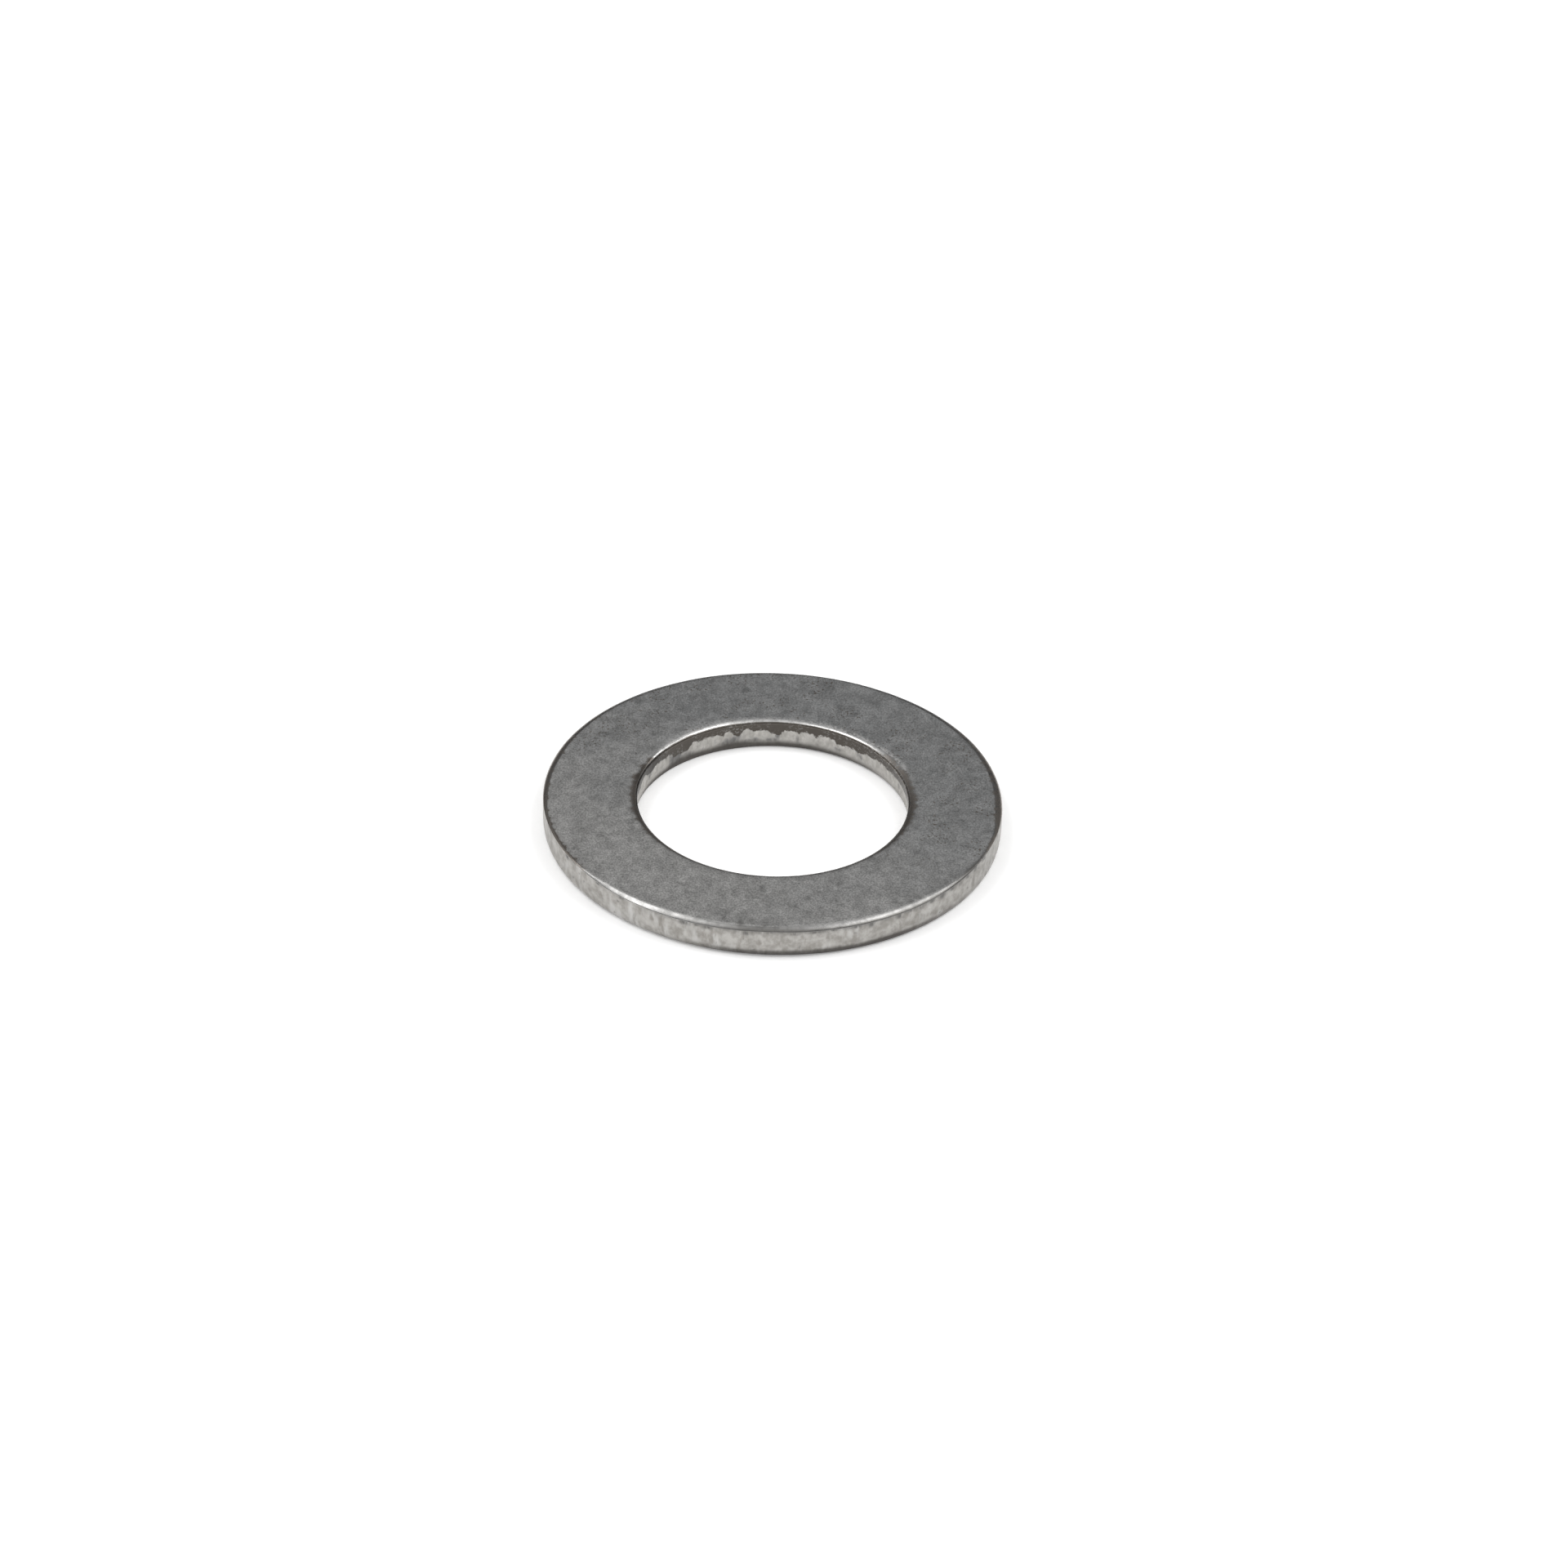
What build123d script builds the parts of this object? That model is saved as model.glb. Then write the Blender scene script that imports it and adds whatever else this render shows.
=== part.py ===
from build123d import *
import math
import os

# Flat washer, one punched and tumbled steel stamping.
# Row frame: millimetres, +Z up along the washer's axis, origin at the centre
# of the underside, so the washer stands on Z = 0.
#
# The washer is blanked and pierced from strip, so its section is not a plain
# rectangle. The upper edges of the rim and of the hole are drawn in by the
# punches (die roll), below them each wall has a smooth sheared land, and below
# the land the metal broke away: there the rim leans slightly inwards and the
# hole opens slightly outwards. Tumbling has rounded the two lower edges, more
# along the wall than along the underside.

# ---- driving dimensions (mm) -------------------------------------------------
outside_diameter = 22.225      # 7/8 in
hole_diameter = 13.08          # 0.515 in, clearance for a 1/2 in bolt
thickness = 1.60               # 16 gauge, 0.063 in

rim_roll_width = 0.30          # die roll at the rim, measured along the face
rim_roll_drop = 0.18           # and down the wall
rim_land_foot = 0.58           # height at which the rim's sheared land ends
rim_break_inset = 0.045        # how far the torn part of the rim leans in

hole_roll_width = 0.37         # die roll round the hole
hole_roll_drop = 0.21
hole_land_foot = 0.98          # height at which the hole's sheared land ends
hole_break_relief = 0.060      # how far the torn part of the hole opens out

rim_low_width = 0.20           # rounded lower edge of the rim, along the underside
rim_low_height = 0.44          # and up the wall
hole_low_width = 0.12          # rounded lower edge of the hole
hole_low_height = 0.40

# ---- derived -----------------------------------------------------------------
rim_radius = outside_diameter / 2
hole_radius = hole_diameter / 2
rim_foot_radius = rim_radius - rim_break_inset * (1 - rim_low_height / rim_land_foot)
hole_foot_radius = hole_radius + hole_break_relief

os.makedirs("parts", exist_ok=True)

# ---- washer ------------------------------------------------------------------
with BuildPart() as washer:
    with BuildSketch(Plane.XZ) as section:
        with BuildLine():
            # underside, between the two rounded lower edges
            Line((hole_foot_radius + hole_low_width, 0),
                 (rim_foot_radius - rim_low_width, 0))
            EllipticalCenterArc(
                (rim_foot_radius - rim_low_width, rim_low_height),
                rim_low_width, rim_low_height,
                start_angle=270, arc_size=90)
            # rim: torn zone, sheared land, die roll
            Line((rim_foot_radius, rim_low_height),
                 (rim_radius, rim_land_foot))
            Line((rim_radius, rim_land_foot),
                 (rim_radius, thickness - rim_roll_drop))
            EllipticalCenterArc(
                (rim_radius - rim_roll_width, thickness - rim_roll_drop),
                rim_roll_width, rim_roll_drop,
                start_angle=0, arc_size=90)
            # upper face
            Line((rim_radius - rim_roll_width, thickness),
                 (hole_radius + hole_roll_width, thickness))
            # hole: die roll, sheared land, torn zone
            EllipticalCenterArc(
                (hole_radius + hole_roll_width, thickness - hole_roll_drop),
                hole_roll_width, hole_roll_drop,
                start_angle=90, arc_size=90)
            Line((hole_radius, thickness - hole_roll_drop),
                 (hole_radius, hole_land_foot))
            Line((hole_radius, hole_land_foot),
                 (hole_foot_radius, hole_low_height))
            EllipticalCenterArc(
                (hole_foot_radius + hole_low_width, hole_low_height),
                hole_low_width, hole_low_height,
                start_angle=180, arc_size=90)
        make_face()
    revolve(axis=Axis.Z)

washer.part.label = "washer"
export_step(washer.part, "parts/washer.step")

steel_density = 7.85e-3        # g/mm3
print("volume mm3", round(washer.part.volume, 3),
      "plain ring mm3",
      round(math.pi * (rim_radius**2 - hole_radius**2) * thickness, 3),
      "mass g", round(washer.part.volume * steel_density, 3))
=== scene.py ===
import math

import bpy
import numpy as np
from mathutils import Matrix, Vector


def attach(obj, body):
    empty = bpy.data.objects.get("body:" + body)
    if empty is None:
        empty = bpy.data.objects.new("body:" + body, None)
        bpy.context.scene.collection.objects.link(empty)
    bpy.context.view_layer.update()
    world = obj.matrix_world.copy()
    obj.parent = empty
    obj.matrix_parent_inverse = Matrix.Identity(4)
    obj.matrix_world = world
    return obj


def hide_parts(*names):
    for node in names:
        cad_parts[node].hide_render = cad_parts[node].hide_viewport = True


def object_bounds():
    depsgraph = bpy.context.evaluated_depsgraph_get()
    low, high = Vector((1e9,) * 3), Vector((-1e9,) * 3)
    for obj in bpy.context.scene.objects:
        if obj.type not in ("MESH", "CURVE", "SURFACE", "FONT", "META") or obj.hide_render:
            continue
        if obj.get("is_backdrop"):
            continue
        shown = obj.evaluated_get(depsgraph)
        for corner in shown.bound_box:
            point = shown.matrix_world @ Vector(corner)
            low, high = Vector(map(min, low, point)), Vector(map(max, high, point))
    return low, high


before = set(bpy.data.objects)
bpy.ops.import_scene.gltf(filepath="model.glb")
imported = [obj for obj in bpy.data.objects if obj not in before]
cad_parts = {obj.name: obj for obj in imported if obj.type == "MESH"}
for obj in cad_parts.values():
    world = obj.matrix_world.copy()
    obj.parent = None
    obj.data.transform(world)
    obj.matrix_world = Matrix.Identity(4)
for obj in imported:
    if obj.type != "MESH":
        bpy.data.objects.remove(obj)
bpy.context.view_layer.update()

MM = 0.001

# ==============================================================================
# Seeded noise. Everything below is deterministic.
# ==============================================================================

_table = np.random.default_rng(20260).permutation(512)
_table = np.concatenate([_table, _table])
_grad = np.random.default_rng(20261).normal(size=(512, 3))
_grad /= np.linalg.norm(_grad, axis=1)[:, None]


def perlin(x, y, z, seed=0):
    """Gradient noise, about -1 to 1."""
    x, y, z = (np.asarray(v, float) + seed * 17.31 for v in np.broadcast_arrays(x, y, z))
    xi, yi, zi = (np.floor(v).astype(int) for v in (x, y, z))
    xf, yf, zf = x - xi, y - yi, z - zi
    u, v, w = (t * t * t * (t * (t * 6 - 15) + 10) for t in (xf, yf, zf))

    def corner(dx, dy, dz):
        h = _table[(_table[(_table[(xi + dx) % 512] + yi + dy) % 512] + zi + dz) % 512]
        g = _grad[h]
        return g[..., 0] * (xf - dx) + g[..., 1] * (yf - dy) + g[..., 2] * (zf - dz)

    def mix(a, b, t):
        return a + (b - a) * t

    n = mix(
        mix(mix(corner(0, 0, 0), corner(1, 0, 0), u), mix(corner(0, 1, 0), corner(1, 1, 0), u), v),
        mix(mix(corner(0, 0, 1), corner(1, 0, 1), u), mix(corner(0, 1, 1), corner(1, 1, 1), u), v),
        w)
    return n * 1.5


def fbm(x, y, z, octaves=3, seed=0, gain=0.5):
    total, amp, norm = 0.0, 1.0, 0.0
    for o in range(octaves):
        total = total + amp * perlin(x * 2 ** o, y * 2 ** o, z * 2 ** o, seed + 7 * o)
        norm += amp
        amp *= gain
    return total / norm


def step(a, b, v):
    t = np.clip((v - a) / (b - a), 0, 1)
    return t * t * (3 - 2 * t)


# ==============================================================================
# The washer, as one closed lathe mesh with real relief (millimetres here)
# ==============================================================================

T = 1.60
RIM_R, RIM_ROLL_W, RIM_ROLL_D = 11.1125, 0.30, 0.18
RIM_LAND_FOOT, RIM_INSET = 0.58, 0.045
HOLE_R, HOLE_ROLL_W, HOLE_ROLL_D = 6.54, 0.37, 0.21
HOLE_LAND_FOOT, HOLE_RELIEF = 0.98, 0.06
RIM_LOW_W, RIM_LOW_H = 0.20, 0.44
HOLE_LOW_W, HOLE_LOW_H = 0.12, 0.40

N = 860                                   # stations round the ring
phi = np.arange(N) * 2 * math.pi / N
deg = np.degrees(phi)
cphi, sphi = np.cos(phi), np.sin(phi)


def around(wavelength, seed, octaves=3, radius=RIM_R, z=0.0):
    """Noise along the circumference, with no seam."""
    k = radius / wavelength
    return fbm(cphi * k, sphi * k, z + 0 * phi, octaves, seed)


def away(centre):
    """Signed angle from one direction, in degrees, for every station."""
    return (deg - centre + 180) % 360 - 180


def bump_at(centre, width):
    """A soft bump centred on one direction, in degrees from +X."""
    return np.exp(-(away(centre) / width) ** 2)


def level(*points):
    """A value round the ring, through (degrees, value) points."""
    d, v = zip(*sorted(points))
    return np.interp(deg, (d[-1] - 360, *d, d[0] + 360), (v[-1], *v, v[0]))


# ---- profile rows: (kind, parameter) -----------------------------------------
rows = []
for a in np.linspace(90, 0, 13):
    rows.append(("rim_roll", math.radians(a)))
for z in np.linspace(T - RIM_ROLL_D, RIM_LOW_H, 22)[1:-1]:
    rows.append(("rim_wall", z))
for a in np.linspace(0, 90, 11):
    rows.append(("rim_low", math.radians(a)))
for f in np.linspace(0, 1, 9)[1:-1]:
    rows.append(("under", f))
for a in np.linspace(90, 0, 10):
    rows.append(("hole_low", math.radians(a)))
for z in np.linspace(HOLE_LOW_H, T - HOLE_ROLL_D, 32)[1:-1]:
    rows.append(("hole_wall", z))
for a in np.linspace(0, 90, 12):
    rows.append(("hole_roll", math.radians(a)))
for f in (0.018, 0.040, 0.070, 0.120, 0.200, 0.310, 0.430, 0.560, 0.690, 0.810, 0.910, 0.970):
    rows.append(("top", f))
M = len(rows)

# ---- things that vary round the ring -----------------------------------------
rim_roll_w = level((0, 0.40), (20, 0.38), (45, 0.34), (90, 0.32), (135, 0.34), (165, 0.36), (180, 0.28), (190, 0.16), (200, 0.10),
                   (211, 0.07), (217, 0.07), (223, 0.105), (228, 0.16), (234, 0.20), (245, 0.22), (256, 0.25), (267, 0.26), (278, 0.31), (289, 0.29), (300, 0.27),
                   (311, 0.215), (316, 0.175), (320, 0.16), (323, 0.15), (327, 0.13), (332, 0.09), (338, 0.11), (344, 0.18), (347, 0.20), (353, 0.32))
rim_roll_w = rim_roll_w * (1 + 0.10 * around(3.4, 11) + 0.05 * around(0.9, 12))
rim_roll_d = level((0, 0.22), (15, 0.20), (30, 0.165), (45, 0.165), (60, 0.18), (90, 0.20), (120, 0.20), (150, 0.21), (168, 0.20), (180, 0.14), (188, 0.06),
                   (200, 0.04), (211, 0.03), (217, 0.05), (223, 0.10), (228, 0.125), (234, 0.135), (245, 0.145), (256, 0.145), (263, 0.13), (268, 0.105), (272, 0.105), (276, 0.13), (289, 0.15),
                   (300, 0.145), (311, 0.13), (316, 0.112), (320, 0.105), (323, 0.09), (327, 0.07), (331, 0.045), (338, 0.04), (346, 0.06), (354, 0.16))
rim_roll_d = rim_roll_d * (1 + 0.06 * around(4.0, 13) + 0.03 * around(1.1, 14))
cone = level((200, 0.50), (215, 0.80), (245, 0.80), (262, 0.66), (283, 0.62), (300, 0.66), (316, 0.74), (330, 0.50), (345, 0.20), (0, 0.10), (30, 0.15), (60, 0.30), (120, 0.30), (150, 0.15), (180, 0.10))
hole_roll_w = level((180, 0.50), (195, 0.47), (210, 0.43), (225, 0.39), (270, 0.38), (315, 0.38), (330, 0.42), (345, 0.48), (0, 0.50), (15, 0.46), (30, 0.40),
                    (45, 0.31), (58, 0.27), (75, 0.26), (92, 0.29), (102, 0.35), (135, 0.38), (110, 0.39), (142, 0.36), (156, 0.34), (164, 0.44))
hole_roll_w = hole_roll_w * (1 + 0.07 * around(2.5, 15, radius=HOLE_R) + 0.04 * around(0.8, 16, radius=HOLE_R))
hole_roll_d = (HOLE_ROLL_D + 0.03 * bump_at(149, 9) - 0.045 * bump_at(72, 26)) * (1 + 0.06 * around(3.0, 17, radius=HOLE_R))
rim_low_w = level((180, 0.13), (200, 0.26), (215, 0.36), (240, 0.36), (262, 0.29), (285, 0.24), (310, 0.23), (335, 0.18), (350, 0.12), (90, 0.15))
rim_low_w = rim_low_w * (1 + 0.10 * around(2.4, 18))
rim_low_h = RIM_LOW_H * (1 + 0.08 * around(2.8, 19))
hole_low_w = level((150, 0.10), (110, 0.11), (95, 0.14), (75, 0.21), (55, 0.26), (30, 0.26), (10, 0.16), (300, 0.10), (200, 0.10))
hole_low_w = hole_low_w * (1 + 0.16 * around(1.9, 20, radius=HOLE_R))
hole_low_h = HOLE_LOW_H * (1 + 0.12 * around(2.2, 21, radius=HOLE_R))

# where the hole's sheared land gives way to torn metal: tongues of torn metal
# reach up to different heights, (direction, half width, top), with runs of land
# between them
tongues = [(163.3, 4.6, 1.17), (149.5, 5.6, 1.04), (142.6, 3.2, 1.03), (126.6, 2.6, 1.09), (118.6, 5.6, 1.10),
           (110.6, 2.0, 1.19), (102.2, 2.9, 1.14), (95.6, 3.7, 1.09), (83.9, 3.2, 1.11), (75.6, 3.2, 1.13),
           (67.4, 3.9, 1.12), (55.0, 3.6, 0.97), (45.4, 2.6, 1.03), (37.0, 5.0, 1.08), (28.0, 5.4, 1.08),
           (15.0, 6.4, 1.06), (4.0, 7.6, 1.09)]
rng = np.random.default_rng(41)
d = 175.0
while d < 356:
    w = rng.uniform(2.2, 6.5)
    tongues.append((d + w * 0.8, w, rng.uniform(0.95, 1.17)))
    d += w * 1.55
between = level((172, 0.97), (160, 0.97), (155, 0.90), (150, 0.97), (142, 0.95), (138, 0.72), (130, 0.77), (127, 0.92), (109, 0.96), (106, 0.80), (103.5, 0.97),
                (93, 0.93), (89, 0.80), (86.5, 0.94), (66, 0.97), (62, 0.86), (51, 0.86), (48, 0.94), (20, 0.98), (0, 0.92), (270, 0.84))
land_foot = between.copy()
for c, w, top in tongues:
    land_foot = np.maximum(land_foot, between + np.clip(top - between, 0, 1) * np.clip(1 - np.abs(away(c + w * rng.uniform(-0.15, 0.15)) / (w * 1.14)) ** 1.9, 0, 1) ** 0.75)
land_foot += 0.050 * around(0.7, 31, 2, HOLE_R) + 0.070 * around(0.26, 32, 3, HOLE_R)
# darker runs in the torn metal: (direction, half width in degrees, height, half height)
dull = [(138.5, 4.2, 0.74, 0.60), (130.5, 3.8, 0.48, 0.26), (109.0, 5.4, 0.60, 0.26), (113.0, 2.4, 0.50, 0.16), (106.5, 2.0, 0.66, 0.36), (135.2, 3.4, 0.62, 0.50),
        (105.8, 1.4, 0.80, 0.24), (88.7, 1.2, 0.72, 0.30), (92.0, 3.0, 0.48, 0.16), (99.0, 4.4, 0.46, 0.18),
        (61.5, 2.2, 0.52, 0.16), (50.5, 1.6, 0.66, 0.22), (156.2, 1.6, 0.70, 0.30), (71.5, 1.6, 0.50, 0.16),
        (21.8, 1.0, 0.74, 0.22), (80.0, 0.9, 0.60, 0.28)]
for _ in range(22):
    dull.append((rng.uniform(182, 358), rng.uniform(1.0, 4.2), rng.uniform(0.5, 0.8), rng.uniform(0.12, 0.45)))

pos = np.zeros((M, N, 3))
rad = np.zeros((M, N))
hgt = np.zeros((M, N))
names = ("side", "bore", "face", "roll", "outer", "torn", "dull", "foot", "edge", "run", "fade", "side_shade_and_brown", "lip", "bead", "painted_highlight", "dim")
mask = {k: np.zeros((M, N)) for k in names}
below = np.full((M, N), -1.0)            # millimetres below the top of the torn metal

for i, (kind, p) in enumerate(rows):
    if kind == "rim_roll":
        f = 1 - p / (math.pi / 2)
        rad[i] = RIM_R - rim_roll_w + rim_roll_w * ((1 - cone) * math.cos(p) + cone * f)
        hgt[i] = T - rim_roll_d + rim_roll_d * ((1 - cone) * math.sin(p) + cone * (1 - f))
        mask["roll"][i] = 1 - step(81, 90, math.degrees(p))
        mask["face"][i] = step(81, 90, math.degrees(p))
        mask["fade"][i] = 1
    elif kind == "rim_wall":
        top, low = T - rim_roll_d, rim_low_h
        f = (p - RIM_LOW_H) / (T - RIM_ROLL_D - RIM_LOW_H)
        hgt[i] = low + (top - low) * f
        lean = np.clip((RIM_LAND_FOOT - hgt[i]) / RIM_LAND_FOOT, 0, 1)
        rad[i] = RIM_R - RIM_INSET * lean
        mask["side"][i] = 1
    elif kind == "rim_low":
        foot = RIM_R - RIM_INSET * (1 - rim_low_h / RIM_LAND_FOOT)
        rad[i] = foot - rim_low_w + rim_low_w * math.cos(p)
        hgt[i] = rim_low_h * (1 - math.sin(p))
        mask["side"][i] = 1
    elif kind == "under":
        a = RIM_R - RIM_INSET * (1 - rim_low_h / RIM_LAND_FOOT) - rim_low_w
        b = HOLE_R + HOLE_RELIEF + hole_low_w
        rad[i] = a + (b - a) * p
        mask["face"][i] = 1
    elif kind == "hole_low":
        rad[i] = HOLE_R + HOLE_RELIEF + hole_low_w - hole_low_w * math.cos(p)
        hgt[i] = hole_low_h * (1 - math.sin(p))
        mask["bore"][i] = 1
        mask["torn"][i] = 1
        below[i] = land_foot - hgt[i]
    elif kind == "hole_wall":
        top, low = T - hole_roll_d, hole_low_h
        f = (p - HOLE_LOW_H) / (T - HOLE_ROLL_D - HOLE_LOW_H)
        hgt[i] = low + (top - low) * f
        below[i] = land_foot - hgt[i]
        torn = step(-0.012, 0.03, below[i])
        lean = np.clip(below[i] / (land_foot - low), 0, 1)
        rad[i] = HOLE_R + torn * (0.012 + (HOLE_RELIEF - 0.012) * lean)
        mask["bore"][i] = 1
        mask["torn"][i] = torn
    elif kind == "hole_roll":
        rad[i] = HOLE_R + hole_roll_w - hole_roll_w * math.cos(p)
        hgt[i] = T - hole_roll_d + hole_roll_d * math.sin(p)
        turn = math.degrees(p) + 5 * around(0.8, 22, radius=HOLE_R)
        mask["roll"][i] = (1 - step(58, 78, turn)) * step(30, 40, turn)
        mask["bore"][i] = 1 - step(30, 40, turn)
        # painted light: the lower, land-toned part of the hole's roll is painted lighter where this mask is set
        mask["lip"][i] = level((180, 0), (160, 0.0), (148, 0.25), (135, 0.33), (45, 0.33), (30, 0.8), (15, 0.7), (5, 0.3), (0, 0.1), (270, 0.33))
        # the left end of the hole's roll takes the same dark tone: partly a brownish stain, partly painted shade
        mask["dim"][i] = level((150, 0), (153, 1), (168, 1), (176, 0.3), (184, 0))
        # painted highlight: a fine bright beaded line where the hole's roll meets the face
        mask["bead"][i] = level((12, 0.0), (30, 0.9), (62, 1.0), (80, 0.55), (100, 0.3), (125, 0.4), (150, 0.1), (165, 0.0), (355, 0.0)) * math.exp(-((math.degrees(p) - 86) / 9) ** 2)
        mask["face"][i] = step(58, 78, turn)
    elif kind == "top":
        a = HOLE_R + hole_roll_w
        b = RIM_R - rim_roll_w
        rad[i] = a + (b - a) * p
        hgt[i] = T
        if p < 0.02:
            mask["bead"][i] = 0.7 * mask["bead"][i - 1]
        mask["face"][i] = 1

X0, Y0 = rad * cphi, rad * sphi
upper = hgt > T / 2
outer = rad > 9
mask["outer"][outer] = 1

# ---- where things lie, for the material --------------------------------------
for c, w, z, hz in dull:
    mask["dull"] = np.maximum(mask["dull"], np.exp(-(away(c) / w) ** 2 - ((hgt - z) / hz) ** 2))
# painted shade: a dark band at both lower edges, deeper at some places than at others
foot_top = np.where(outer, 0.49 + 0.04 * around(1.8, 93) + 0.02 * around(0.5, 94),
                    level((165, 0.42), (142, 0.47), (130, 0.56), (120, 0.55), (95, 0.57), (60, 0.52), (30, 0.48), (0, 0.46), (270, 0.48))
                    + 0.05 * around(1.4, 95, radius=HOLE_R) + 0.03 * around(0.4, 96, radius=HOLE_R) + 0.08 * bump_at(134, 6) + 0.08 * bump_at(107, 6))
foot_depth = np.where(outer, level((185, 0.0), (215, 0.05), (236, 0.10), (246, 0.28), (253, 0.48), (262, 0.82), (302, 0.95), (322, 0.50), (345, 0.05), (60, 0.6), (120, 0.4)),
                      level((172, 0.60), (158, 0.90), (148, 1.0), (78, 1.0), (62, 0.90), (48, 0.78), (38, 0.60), (12, 0.50), (300, 0.9), (230, 0.5)))
foot_soft = np.where(outer, 0.24, 0.36)
mask["foot"] = np.where(mask["side"] + mask["bore"] > 0.5, foot_depth, 0) * 0.95 * np.clip((foot_top + 0.04 - hgt) / foot_soft, 0, 1)
# dark runs just under the rim's roll: (direction, half width in degrees, length)
runs = [(197.5, 1.0, 0.30), (209.5, 1.0, 0.34), (223.0, 0.9, 0.20), (231.0, 0.8, 0.22), (249.0, 1.5, 0.34), (252.2, 1.0, 0.22), (255.0, 1.2, 0.30), (264.6, 1.4, 0.38), (270.5, 0.7, 0.18), (276.2, 1.0, 0.30), (281.5, 2.0, 0.24),
        (285.6, 1.6, 0.18), (291.9, 1.1, 0.26), (295.7, 0.9, 0.40), (303.4, 1.2, 0.40), (306.8, 0.8, 0.22), (310.2, 0.9, 0.34), (313.5, 1.1, 0.30), (317.3, 1.2, 0.42), (321.0, 1.1, 0.28), (324.3, 0.9, 0.36), (327.4, 1.0, 0.30), (331.5, 1.3, 0.36), (336.0, 1.2, 0.28)]
for _ in range(26):
    runs.append((rng.uniform(-25, 232), rng.uniform(0.6, 2.4), rng.uniform(0.08, 0.34)))
under_roll = (T - rim_roll_d) - hgt
for c, w, length in runs:
    mask["run"] = np.maximum(mask["run"], np.exp(-(away(c) / w) ** 2) * (1 - step(0.35, 1.0, under_roll / length)))
# darker just under the roll, more so at the front
under_roll_dark = level((178, 0.25), (188, 0.14), (196, 0.04), (220, 0.04), (236, 0.10), (243, 0.35), (256, 0.60), (278, 0.66), (300, 0.60), (330, 0.45), (345, 0.35), (355, 0.2), (60, 0.3), (150, 0.1)) * (1 + 0.6 * around(1.1, 99))
mask["run"] = np.maximum(mask["run"], np.clip(under_roll_dark, 0, 1) * np.exp(-(np.clip(under_roll, 0, 1) / 0.17) ** 2))
mask["run"] *= mask["side"] * upper
# a dark line along the rim's edge, where the roll meets the wall
line = np.clip(level((180, 0.0), (238, 0.0), (248, 0.30), (258, 0.60), (268, 0.78), (284, 0.95), (300, 0.95), (316, 1.1), (328, 1.1), (333, 0.85), (338, 0.15), (345, 0.0), (60, 0.3), (110, 0.6), (150, 0.2))
               + 0.30 * around(0.9, 97) * (bump_at(285, 50) > 0.3), 0, 1)
mask["edge"] = np.where(outer & upper, line * np.exp(-((under_roll + 0.022) / 0.055) ** 2), 0) * step(-0.05, 0.0, rad - (RIM_R - rim_roll_w))
# dark marks across the roll: (direction, half width, distance in from the rim, half depth, strength)
for c, w, deep, half, dark in ((263.0, 0.9, 0.30, 0.40, 0.60), (265.4, 0.9, 0.60, 0.22, 0.42), (269.0, 0.8, 0.35, 0.40, 0.32), (308.3, 1.0, 0.42, 0.17, 0.65),
                               (311.2, 0.9, 0.42, 0.17, 0.65), (315.6, 1.0, 0.36, 0.17, 0.40), (324.4, 0.9, 0.30, 0.17, 0.35), (330.8, 1.4, 0.12, 0.18, 0.35)):
    dark_mark = dark * np.exp(-(away(c) / w) ** 2 - ((RIM_R - rad - deep) / half) ** 2)
    mask["edge"] = np.maximum(mask["edge"], np.where(outer & upper, dark_mark, 0) * (1 - mask["side"]))
# the rim's roll is painted dark at both sides, with a ragged inner border: partly a brownish stain, partly painted
# shade
side_shade_and_brown = level((0, 0.95), (16, 0.9), (32, 0.6), (48, 0.35), (66, 0.15), (120, 0.2), (140, 0.6), (155, 0.95), (175, 1.0), (203, 1.0), (212, 0.8), (220, 0.2), (320, 0.0), (330, 0.10), (336, 0.4), (342, 0.9))
inward = np.clip((RIM_R - rad) / np.maximum(0.95 * rim_roll_w, 0.19), 0, 3)
mask["side_shade_and_brown"] = np.where(outer & upper, side_shade_and_brown * np.clip(1.38 - inward + 1.15 * around(0.34, 100, 3), 0, 1), 0) * (1 - mask["side"])
# the hole's roll likewise at its sides: partly a brownish stain, partly painted shade
into = np.clip((rad - HOLE_R) / (1.02 * hole_roll_w), 0, 3)
hole_side_shade_and_brown = level((0, 1.0), (25, 0.8), (34, 0.55), (43, 0.1), (135, 0.0), (149, 0.0), (152, 0.5), (154, 1.0), (205, 1.0), (225, 0.6), (270, 0.45), (315, 0.6), (335, 1.0))
mask["side_shade_and_brown"] = np.where(~outer & upper, (mask["roll"] + mask["face"]) * hole_side_shade_and_brown * np.clip(1.20 - into + 0.72 * around(0.30, 101, 3, HOLE_R), 0, 1), mask["side_shade_and_brown"])
# painted shade: places where the rim's roll is painted darker, dimming its highlight; these places are also made
# rougher
dimmed_roll = np.clip(1.15 * bump_at(265.5, 6.5) + 0.4 * bump_at(331, 4) + 0.20 * bump_at(254.5, 3.5) + 0.25 * bump_at(257.6, 1) + 0.35 * bump_at(277, 2.4) + 0.35 * np.clip(around(0.55, 98), 0, 1) * (bump_at(303, 12) > 0.3)
               + 0.5 * bump_at(30, 10) + 0.4 * bump_at(120, 14)
               + 0.40 * bump_at(225.5, 3) + 0.50 * bump_at(230.9, 1.3) + 0.55 * bump_at(244.5, 1.4) + 0.30 * bump_at(249.8, 2)
               + 0.50 * bump_at(305.5, 1.2) + 0.35 * bump_at(308.2, 1) + 0.30 * bump_at(311.2, 0.9), 0, 1)
mask["fade"] = mask["fade"] * np.where(hgt > T - 0.001, 0.5 * dimmed_roll, dimmed_roll)
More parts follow.
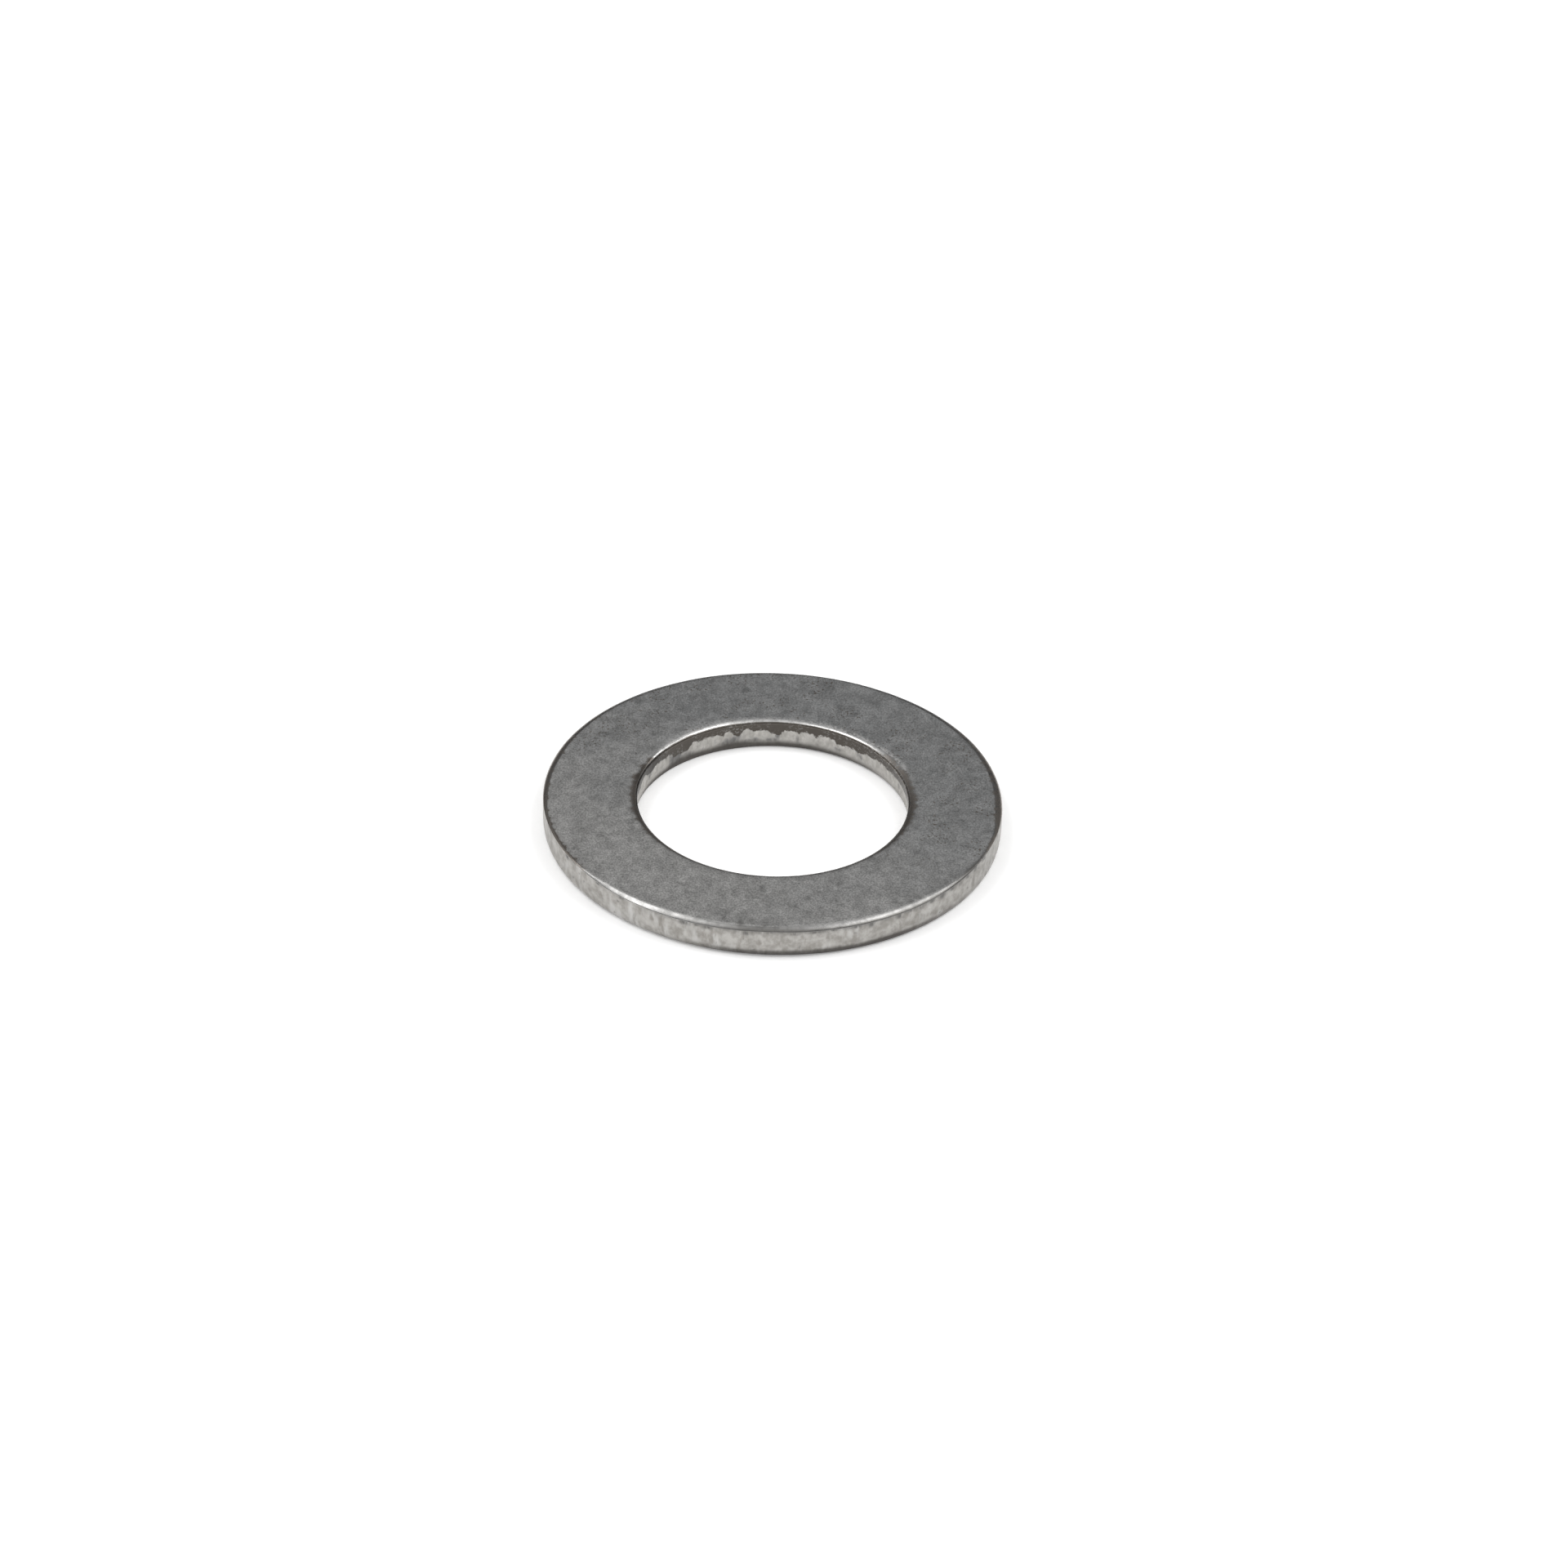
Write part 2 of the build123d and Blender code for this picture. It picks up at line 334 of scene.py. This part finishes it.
# and places where both rolls are painted brighter: painted highlight
rim_highlight = level((225, 0.0), (232, 0.2), (244, 0.0), (276, 0.10), (280, 0.30), (284, 0.60), (291, 0.50), (300, 0.48), (310, 0.55), (316, 0.8), (322, 0.9), (327, 0.6), (331, 0.0), (20, 0.0), (60, 0.1), (120, 0.3), (150, 0.0))
hole_highlight = level((156, 0.0), (149, 0.45), (138, 0.6), (126, 0.4), (115, 0.9), (107, 0.7), (99, 0.1), (90, 0.0), (84, 0.25), (76, 0.5), (68, 0.1), (58, 0.0), (48, 0.35), (38, 0.4), (30, 0.0), (270, 0.2))
mask["painted_highlight"] = np.where(outer, rim_highlight * (1 + 0.5 * around(0.5, 102)), hole_highlight * (1 + 0.3 * around(0.4, 103, 3, HOLE_R))) * mask["roll"]
# ---- relief ------------------------------------------------------------------
# the blank isn't perfectly round
rad = rad - (rad > 9) * (0.025 * bump_at(2, 22) + 0.030 * bump_at(178, 22))

# rim wall: faint upright drag marks from the die, a little waviness
drag = fbm(X0 / 0.30, Y0 / 0.30, hgt / 2.4, 3, 51)
wave = fbm(X0 / 1.6, Y0 / 1.6, hgt / 1.2, 2, 52)
rad = rad + mask["side"] * (0.0030 * drag + 0.0040 * wave - 0.004)

# hole: fine score marks on the land, rough torn metal below
score = fbm(X0 / 0.16, Y0 / 0.16, hgt / 2.2, 2, 61)
rad = rad + mask["bore"] * (1 - mask["torn"]) * 0.0022 * score
streak = fbm(X0 / 0.17, Y0 / 0.17, hgt / 0.55, 3, 62)
grain = fbm(X0 / 0.11, Y0 / 0.11, hgt / 0.10, 2, 63)
ridge = 1 - 2 * np.abs(fbm(X0 / 0.42, Y0 / 0.42, hgt / 0.60, 2, 64))
rad = rad + mask["torn"] * (0.009 * streak + 0.006 * grain + 0.006 * ridge - 0.002 + 0.018 * mask["dull"])

# rolled edges: tumbling nicks
nick = fbm(X0 / 0.34, Y0 / 0.34, hgt / 0.34, 3, 71)
bite = np.clip(fbm(X0 / 0.75, Y0 / 0.75, hgt / 0.75, 2, 72) - 0.42, 0, 1)
hgt = hgt - mask["roll"] * (0.0030 * np.clip(-nick, 0, 1) + 0.030 * bite + 0.006 * mask["fade"])

# the face leans very slightly before it rolls into the hole
lean_in = np.clip(HOLE_R + 0.65 - rad, 0, 0.65 - HOLE_ROLL_W)
hgt = hgt - (upper & ~outer) * (mask["face"] + mask["roll"]) * 0.09 * lean_in ** 2

# faces: slight unevenness
dish = fbm(X0 / 2.6, Y0 / 2.6, hgt / 2.6, 2, 81)
peen = fbm(X0 / 0.55, Y0 / 0.55, hgt / 0.55, 2, 82)
hgt = hgt + upper * mask["face"] * (0.0014 * dish + 0.0004 * peen - 0.0026)

# nothing stands outside the CAD solid's box
hgt = np.clip(hgt, 0, T)
rad = np.minimum(rad, RIM_R)

pos[..., 0], pos[..., 1], pos[..., 2] = rad * cphi, rad * sphi, hgt
mask["below"] = np.clip(below, -1, 1)

# ---- the mesh ----------------------------------------------------------------
verts = (pos.reshape(-1, 3) * MM)
i0 = np.arange(M)[:, None] * N
i1 = ((np.arange(M) + 1) % M)[:, None] * N
j0 = np.arange(N)[None]
j1 = ((np.arange(N) + 1) % N)[None]
# rows run from the rim over the underside and back up the hole, stations run
# anticlockwise, so this order points the faces outwards
quads = np.stack([i0 + j0, i1 + j0, i1 + j1, i0 + j1], -1).reshape(-1, 4)
me = bpy.data.meshes.new("washer_body")
me.vertices.add(len(verts))
me.vertices.foreach_set("co", verts.astype(np.float32).ravel())
me.loops.add(len(quads) * 4)
me.loops.foreach_set("vertex_index", quads.astype(np.int32).ravel())
me.polygons.add(len(quads))
me.polygons.foreach_set("loop_start", np.arange(0, len(quads) * 4, 4, dtype=np.int32))
me.update(calc_edges=True)
me.polygons.foreach_set("use_smooth", np.ones(len(quads), bool))
for name, values in mask.items():
    at = me.attributes.new(name, "FLOAT", "POINT")
    at.data.foreach_set("value", values.reshape(-1).astype(np.float32))
me.update()
me.validate()
washer = bpy.data.objects.new("washer_body", me)
bpy.context.scene.collection.objects.link(washer)

# ==============================================================================
# Material
# ==============================================================================


class Nodes:
    def __init__(self, name):
        self.m = bpy.data.materials.new(name)
        self.m.use_nodes = True
        self.t = self.m.node_tree
        self.t.nodes.clear()
        self.out = self.t.nodes.new("ShaderNodeOutputMaterial")

    def add(self, kind, **settings):
        n = self.t.nodes.new(kind)
        for k, v in settings.items():
            setattr(n, k, v)
        return n

    def put(self, socket, value):
        if hasattr(value, "is_output"):
            self.t.links.new(value, socket)
        elif isinstance(value, (tuple, list)):
            socket.default_value = (*value, 1.0)[:len(socket.default_value)]
        else:
            socket.default_value = value

    def attr(self, name):
        return self.add("ShaderNodeAttribute", attribute_name=name).outputs["Fac"]

    def math(self, op, a, b=0.0, c=0.0, clamp=False):
        n = self.add("ShaderNodeMath", operation=op, use_clamp=clamp)
        for s, v in zip(n.inputs, (a, b, c)):
            self.put(s, v)
        return n.outputs[0]

    def mix(self, f, a, b, kind="RGBA", blend="MIX"):
        n = self.add("ShaderNodeMix", data_type=kind)
        if kind == "RGBA":
            n.blend_type = blend
            ins, out = (n.inputs[0], n.inputs[6], n.inputs[7]), n.outputs[2]
        else:
            ins, out = (n.inputs[0], n.inputs[2], n.inputs[3]), n.outputs[0]
        for s, v in zip(ins, (f, a, b)):
            self.put(s, v)
        return out

    def noise(self, vector, scale, detail=2.0, rough=0.5, distortion=0.0):
        n = self.add("ShaderNodeTexNoise")
        self.put(n.inputs["Vector"], vector)
        self.put(n.inputs["Scale"], scale)
        self.put(n.inputs["Detail"], detail)
        self.put(n.inputs["Roughness"], rough)
        self.put(n.inputs["Distortion"], distortion)
        return n.outputs["Fac"]

    def ramp(self, f, low, high, a=0.0, b=1.0):
        n = self.add("ShaderNodeMapRange", interpolation_type="SMOOTHSTEP")
        for s, v in zip(n.inputs[:5], (f, low, high, a, b)):
            self.put(s, v)
        return n.outputs[0]

    def scaled(self, vector, x, y, z):
        n = self.add("ShaderNodeVectorMath", operation="MULTIPLY")
        self.put(n.inputs[0], vector)
        n.inputs[1].default_value = (x, y, z)
        return n.outputs[0]


n = Nodes("tumbled_steel")
where = n.scaled(n.add("ShaderNodeTexCoord").outputs["Object"], 1000, 1000, 1000)   # in millimetres
upright = n.scaled(where, 1, 1, 0.14)
slanted = n.scaled(where, 1, 1, 0.40)


def shade(colour, k):
    return n.mix(1.0, colour, (k, k, k), blend="MULTIPLY")


# ---- faces -------------------------------------------------------------------
cloud = n.noise(where, 0.33, 2.0, 0.5)
rolled = n.scaled(where, 1, 0.78, 1)                         # the strip was rolled along Y
mottle = n.noise(rolled, 2.2, 2.0, 0.55)
stipple = n.noise(rolled, 12.0, 2.0, 0.7)
speck = n.noise(rolled, 7.5, 1.5, 0.55)
place = n.add("ShaderNodeSeparateXYZ")
n.put(place.inputs[0], where)
side_y = n.math("ADD", n.math("MULTIPLY", place.outputs["Y"], 0.85), n.math("MULTIPLY", place.outputs["X"], 0.50))
side_y = n.math("ADD", side_y, n.math("MULTIPLY", n.math("SUBTRACT", cloud, 0.5), 14.0))
# painted light: the face is painted lighter towards the front and left and darker towards the back and right, for how
# the light falls across it
face_tone = n.mix(n.ramp(side_y, 6.0, -8.5), (0.358, 0.361, 0.361), (0.460, 0.456, 0.446))
face_tone = n.mix(n.ramp(n.noise(rolled, 0.62, 2.0, 0.5), 0.32, 0.68), shade(face_tone, 0.965), shade(face_tone, 1.035))
face_tone = n.mix(n.ramp(mottle, 0.26, 0.74), shade(face_tone, 0.935), shade(face_tone, 1.065))
face_tone = n.mix(n.ramp(stipple, 0.28, 0.72), shade(face_tone, 0.78), shade(face_tone, 1.22))
spots = n.ramp(n.noise(where, 1.7, 2.0, 0.5), 0.57, 0.72)
face_tone = n.mix(spots, face_tone, shade(face_tone, 0.80))
clusters = n.math("ADD", n.ramp(n.noise(where, 0.8, 1.0, 0.4), 0.51, 0.60), 0.14, clamp=True)
pits = n.math("MULTIPLY", n.ramp(speck, 0.575, 0.67), n.math("MULTIPLY", n.ramp(side_y, -3.0, 2.0), clusters))
face_tone = n.mix(pits, face_tone, (0.185, 0.165, 0.146))

# ---- the rim's wall ----------------------------------------------------------
drag_tone = n.noise(upright, 4.0, 3.0, 0.55)
patch = n.noise(slanted, 1.5, 3.0, 0.5)
wall_tone = n.mix(n.ramp(n.noise(where, 2.4, 3.0, 0.55), 0.3, 0.7), (0.290, 0.278, 0.258), (0.445, 0.432, 0.412))
wall_tone = n.mix(n.ramp(drag_tone, 0.3, 0.72), shade(wall_tone, 0.975), shade(wall_tone, 1.025))
wall_tone = n.mix(n.ramp(patch, 0.53, 0.70), wall_tone, (0.50, 0.492, 0.478))
smudge = n.ramp(n.noise(slanted, 2.1, 3.0, 0.55), 0.56, 0.74)
wall_tone = n.mix(n.math("MULTIPLY", smudge, 0.75), wall_tone, (0.235, 0.220, 0.200))
wall_tone = n.mix(n.ramp(place.outputs["X"], 1.5, 6.5), wall_tone, shade(wall_tone, 0.955))
ragged = n.ramp(n.noise(slanted, 4.0, 3.0, 0.6), 0.30, 0.58, 0.30, 1.20)
run = n.math("MULTIPLY", n.attr("run"), ragged, clamp=True)
# painted reflection: the wall is painted lighter at its far left and right ends
wall_tone = n.mix(n.ramp(n.math("ABSOLUTE", place.outputs["X"]), 10.4, 11.0), wall_tone, shade(wall_tone, 1.05))
wall_tone = n.mix(run, wall_tone, (0.150, 0.146, 0.140))
wall_pit = n.math("MULTIPLY", n.ramp(n.noise(where, 3.6, 1.0, 0.4), 0.69, 0.78), 0.6)
wall_tone = n.mix(wall_pit, wall_tone, (0.18, 0.175, 0.17))

# ---- the hole: dark sheared land, light torn metal ---------------------------
score_tone = n.noise(where, 9.0, 2.0, 0.65)
score_place = n.noise(where, 0.9, 2.0, 0.5)
flecked = n.math("MAXIMUM", n.ramp(score_place, 0.40, 0.60), n.ramp(place.outputs["X"], 3.6, 5.0))
flecks = n.math("MULTIPLY", n.ramp(score_tone, 0.50, 0.66), flecked)
land_tone = n.mix(flecks, (0.078, 0.070, 0.062), (0.170, 0.164, 0.156))
# painted light: the land tone is painted lighter on the lower part of the hole's roll
land_tone = n.mix(n.attr("lip"), land_tone, shade(land_tone, 2.5))
land_tone = n.mix(n.ramp(place.outputs["X"], -5.1, -5.9), land_tone, shade(land_tone, 0.52))

tear = n.noise(slanted, 3.6, 3.0, 0.58)
torn_grain = n.noise(where, 6.0, 3.0, 0.6)
torn_tone = n.mix(n.ramp(tear, 0.30, 0.66), (0.43, 0.416, 0.392), (0.565, 0.550, 0.526))
torn_tone = n.mix(n.ramp(torn_grain, 0.25, 0.75), shade(torn_tone, 0.90), shade(torn_tone, 1.08))
dulled = n.ramp(n.math("ADD", n.attr("dull"), n.math("MULTIPLY", n.math("SUBTRACT", tear, 0.5), 2.6)), 0.20, 1.25)
torn_tone = n.mix(dulled, torn_tone, (0.225, 0.222, 0.218))
ragged_edge = n.math("MULTIPLY", n.math("SUBTRACT", n.noise(where, 6.0, 3.0, 0.65), 0.5), 0.44)
torn = n.ramp(n.math("ADD", n.attr("below"), ragged_edge), -0.030, 0.085)
bore_tone = n.mix(torn, land_tone, torn_tone)

# ---- rolled edges ------------------------------------------------------------
roll_tone = n.mix(n.attr("outer"), (0.42, 0.416, 0.41), (0.26, 0.257, 0.252))
blotch = n.ramp(n.noise(where, 3.0, 3.0, 0.6), 0.32, 0.66)
roll_tone = n.mix(blotch, shade(roll_tone, 0.80), shade(roll_tone, 1.16))
# painted highlight: the rolls' base colour is raised where they are brightest
roll_tone = n.mix(n.math("MULTIPLY", n.attr("painted_highlight"), n.mix(blotch, 0.45, 1.0, "FLOAT"), clamp=True), roll_tone, n.mix(n.attr("outer"), (0.80, 0.79, 0.775), (0.50, 0.494, 0.485)))
# painted shade: the roll is painted darker where its highlight is dimmer
roll_dimming = n.math("MULTIPLY", n.attr("fade"), n.ramp(n.noise(where, 2.2, 2.0, 0.5), 0.30, 0.60, 0.70, 1.0), clamp=True)
roll_tone = n.mix(roll_dimming, roll_tone, n.mix(blotch, (0.145, 0.143, 0.139), (0.195, 0.192, 0.187)))

tone = face_tone
for name, colour in (("roll", roll_tone), ("side", wall_tone), ("bore", bore_tone)):
    tone = n.mix(n.attr(name), tone, colour)
# the same painted shade reaches onto the face beside the roll
tone = n.mix(n.math("MULTIPLY", roll_dimming, n.attr("face")), tone, shade(tone, 0.50))
# painted shade along both lower edges, which are also made rougher
footing = n.ramp(n.math("ADD", n.attr("foot"), n.math("MULTIPLY", n.math("SUBTRACT", tear, 0.5), 0.40)), 0.08, 1.0)
# painted highlight: light beads along the outer border of the hole's roll
beads = n.math("MULTIPLY", n.attr("bead"), n.ramp(n.noise(where, 6.5, 2.0, 0.6), 0.36, 0.60))
tone = n.mix(beads, tone, (0.76, 0.75, 0.735))
tone = n.mix(footing, tone, (0.115, 0.108, 0.100))
tone = n.mix(n.attr("edge"), tone, (0.11, 0.106, 0.10))
# the sides of both rolls are painted dark: partly a brownish stain, partly painted shade
shaded_brown = n.ramp(n.math("ADD", n.attr("side_shade_and_brown"), n.math("MULTIPLY", n.math("SUBTRACT", stipple, 0.5), 1.5)), 0.30, 0.68)
tone = n.mix(n.math("MULTIPLY", shaded_brown, n.ramp(n.attr("side_shade_and_brown"), 0.0, 0.2)), tone, n.mix(n.math("MAXIMUM", n.attr("face"), n.attr("dim")), n.mix(n.attr("outer"), (0.40, 0.362, 0.328), (0.31, 0.282, 0.256)), (0.180, 0.162, 0.146)))

# ---- roughness ---------------------------------------------------------------
rough = n.mix(n.ramp(mottle, 0.3, 0.7), 0.42, 0.48, "FLOAT")
rough = n.mix(n.attr("roll"), rough, n.mix(roll_dimming, n.mix(n.attr("outer"), 0.22, 0.30, "FLOAT"), 0.46, "FLOAT"), "FLOAT")
rough = n.mix(n.attr("side"), rough, 0.42, "FLOAT")
rough = n.mix(n.attr("bore"), rough, n.mix(torn, 0.38, 0.66, "FLOAT"), "FLOAT")
rough = n.mix(footing, rough, 0.60, "FLOAT")
rough = n.math("ADD", rough, n.ramp(stipple, 0.3, 0.7, -0.03, 0.03))

# ---- bump --------------------------------------------------------------------
fine = n.noise(where, 9.0, 2.0, 0.6)
coarse = n.noise(where, 2.8, 2.0, 0.5)
height = n.math("ADD", n.math("MULTIPLY", fine, 0.0005), n.math("MULTIPLY", coarse, 0.0006))
height = n.math("SUBTRACT", height, n.math("MULTIPLY", pits, 0.0006))
marks = n.math("ADD", n.math("MULTIPLY", n.noise(upright, 8.0, 3.0, 0.6), 0.0018), n.math("MULTIPLY", coarse, 0.0016))
crag = n.math("ADD", n.math("MULTIPLY", n.noise(where, 9.0, 4.0, 0.62), 0.006), n.math("MULTIPLY", tear, 0.006))
height = n.mix(n.attr("side"), height, marks, "FLOAT")
height = n.mix(n.attr("bore"), height, n.mix(torn, marks, crag, "FLOAT"), "FLOAT")
bump = n.add("ShaderNodeBump")
bump.inputs["Strength"].default_value = 1.0
bump.inputs["Distance"].default_value = MM
n.put(bump.inputs["Height"], height)

bsdf = n.add("ShaderNodeBsdfPrincipled")
bsdf.inputs["Metallic"].default_value = 1.0
n.put(bsdf.inputs["Base Color"], tone)
n.put(bsdf.inputs["Roughness"], rough)
n.put(bsdf.inputs["Normal"], bump.outputs["Normal"])
n.t.links.new(bsdf.outputs[0], n.out.inputs["Surface"])
me.materials.append(n.m)

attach(washer, "root")
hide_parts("washer")

# ==============================================================================
# Studio: a white table, soft boxes either side, a dim room
# ==============================================================================

paper = bpy.data.materials.new("table_white")
paper.use_nodes = True
pb = paper.node_tree.nodes["Principled BSDF"]
pb.inputs["Base Color"].default_value = (0.93, 0.93, 0.93, 1)
pb.inputs["Roughness"].default_value = 0.9
pb.inputs["Specular IOR Level"].default_value = 0.0
pb.inputs["Emission Color"].default_value = (1, 1, 1, 1)      # a light table, faintly lit from below
pb.inputs["Emission Strength"].default_value = 0.18

fm = bpy.data.meshes.new("table")
h = 0.45
fm.from_pydata([(-h, -h, 0), (h, -h, 0), (h, h, 0), (-h, h, 0)], [], [(0, 1, 2, 3)])
floor = bpy.data.objects.new("table", fm)
floor.location.z = -0.00001
fm.materials.append(paper)
bpy.context.scene.collection.objects.link(floor)
floor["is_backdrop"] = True


def softbox(name, azimuth, elevation, distance, width, height, power, colour=(1, 1, 1)):
    """An area light at that place round the washer, facing it."""
    light = bpy.data.lights.new(name, "AREA")
    light.shape = "RECTANGLE"
    light.size, light.size_y = width, height
    light.energy = power
    light.color = colour
    ob = bpy.data.objects.new(name, light)
    a, e = math.radians(azimuth), math.radians(elevation)
    at = Vector((math.cos(a) * math.cos(e), math.sin(a) * math.cos(e), math.sin(e))) * distance
    ob.location = at
    ob.rotation_mode = "QUATERNION"
    ob.rotation_quaternion = at.to_track_quat("Z", "Y")
    bpy.context.scene.collection.objects.link(ob)
    return ob


softbox("left_box", 180, 55, 0.30, 0.16, 0.20, 0.36)
softbox("right_box", 0, 55, 0.30, 0.16, 0.20, 0.31)
softbox("right_rear_box", 32, 38, 0.30, 0.09, 0.07, 0.045)

world = bpy.data.worlds.new("room")
bpy.context.scene.world = world
world.use_nodes = True
wt = world.node_tree
wt.nodes.clear()
wo = wt.nodes.new("ShaderNodeOutputWorld")
bg = wt.nodes.new("ShaderNodeBackground")
sep = wt.nodes.new("ShaderNodeSeparateXYZ")
gen = wt.nodes.new("ShaderNodeTexCoord")
wt.links.new(gen.outputs["Generated"], sep.inputs[0])


def sky(*levels):
    """Light by height above the horizon: (degrees, level) pairs."""
    ramp = wt.nodes.new("ShaderNodeValToRGB")
    wt.links.new(sep.outputs["Z"], ramp.inputs[0])
    ramp.color_ramp.elements[1].position = 1.0
    for p, v in levels[1:-1]:
        ramp.color_ramp.elements.new(math.sin(math.radians(p)))
    for el, (p, v) in zip(ramp.color_ramp.elements, levels):
        el.color = (v, v, v, 1)
    return ramp.outputs[0]


toward = wt.nodes.new("ShaderNodeMapRange")                  # 0 at the front, 1 at the back
toward.inputs["From Min"].default_value = -1.0
wt.links.new(sep.outputs["Y"], toward.inputs["Value"])
blend = wt.nodes.new("ShaderNodeMix")
blend.data_type = "RGBA"
wt.links.new(toward.outputs[0], blend.inputs[0])
wt.links.new(sky((0, 0.38), (20, 0.46), (40, 0.66), (60, 0.86), (90, 1.00)), blend.inputs[6])
wt.links.new(sky((0, 0.20), (20, 0.06), (40, 0.18), (60, 0.88), (90, 1.00)), blend.inputs[7])
wt.links.new(blend.outputs[2], bg.inputs["Color"])
wt.links.new(bg.outputs[0], wo.inputs[0])

bpy.context.scene.view_settings.view_transform = "Standard"
bpy.context.scene.view_settings.look = "None"
bpy.context.scene.view_settings.exposure = 0.0

# ==============================================================================
# Camera
# ==============================================================================


def camera(distance, elevation, focal_px, yaw, pitch, roll):
    """Looks from -Y down at the origin, then turns by the small angles."""
    back = Vector((0, -math.cos(elevation), math.sin(elevation)))
    place, fwd, right = back * distance, -back, Vector((1, 0, 0))
    up = right.cross(fwd)
    turn = Matrix.Rotation(yaw, 3, up)
    fwd, right = turn @ fwd, turn @ right
    fwd = Matrix.Rotation(pitch, 3, right) @ fwd
    up = right.cross(fwd)
    turn = Matrix.Rotation(roll, 3, fwd)
    right, up = turn @ right, turn @ up
    data = bpy.data.cameras.new("camera")
    data.sensor_width = 36.0
    data.lens = focal_px / 1920 * 36.0
    data.clip_start, data.clip_end = 0.005, 10.0
    ob = bpy.data.objects.new("camera", data)
    m = Matrix((right, up, -fwd)).transposed().to_4x4()
    m.translation = place
    ob.matrix_world = m
    bpy.context.scene.collection.objects.link(ob)
    bpy.context.scene.camera = ob


R0 = 11.1125 * MM
camera(25.4875 * R0, math.radians(34.4858), 281.1624 * 25.4875,
       -0.0466 / 25.4875, 0.1725 / 25.4875, -0.0324)

# ==============================================================================
bpy.context.view_layer.update()
low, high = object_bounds()
